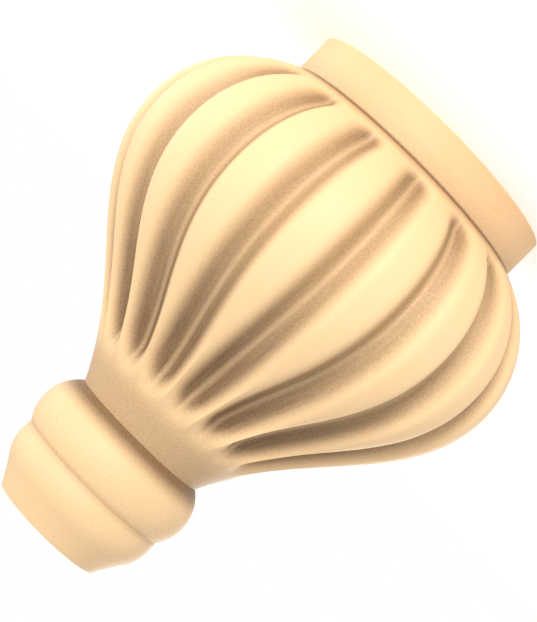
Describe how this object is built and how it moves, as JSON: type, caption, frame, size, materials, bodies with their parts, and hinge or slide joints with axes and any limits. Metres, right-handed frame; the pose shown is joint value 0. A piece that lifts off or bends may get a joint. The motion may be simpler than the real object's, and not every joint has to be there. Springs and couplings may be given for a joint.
{
  "type": "curtain pole finial",
  "caption": "Turned wooden curtain pole finial: a fluted bulb on a plain round collar, closed by a beaded neck and a small hollow-sided foot at the tip.",
  "frame": {"origin": "centre of the collar's flat end face, which sits against the end of the pole", "axes": "+Z along the turning axis from the collar to the tip; +X through the middle of a flute"},
  "size_m": [0.08, 0.0804, 0.0937],
  "materials": {
    "carved_wood": "matte"
  },
  "bodies": {
    "root": {"finial_body": "carved_wood"}
  },
  "joints": []
}
